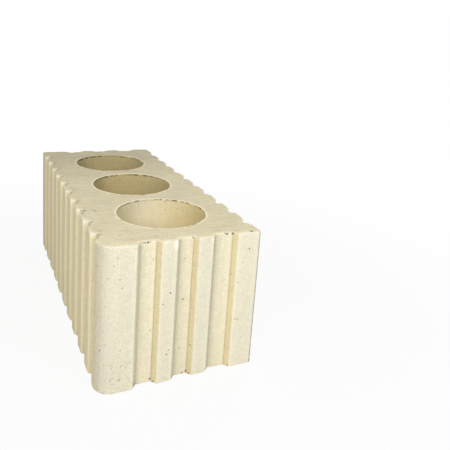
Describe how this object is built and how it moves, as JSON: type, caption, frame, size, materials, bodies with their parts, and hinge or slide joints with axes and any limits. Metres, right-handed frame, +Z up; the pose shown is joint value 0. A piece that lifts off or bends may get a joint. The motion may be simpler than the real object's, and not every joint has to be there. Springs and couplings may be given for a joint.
{
  "type": "fluted clay brick",
  "caption": "Pale yellow extruded clay facing brick with round holes through it from bed to bed and shallow vertical flutes round its sides and ends.",
  "frame": {"origin": "centre of the bottom bed, on the level the brick stands on", "axes": "+X along the brick's length towards the end beside the rounded corner, +Y across its width away from the rounded corner, +Z up along the holes and flutes"},
  "size_m": [0.2, 0.085, 0.077],
  "materials": {
    "fired_clay": "matte"
  },
  "bodies": {
    "root": {"brick": "fired_clay"}
  },
  "joints": []
}
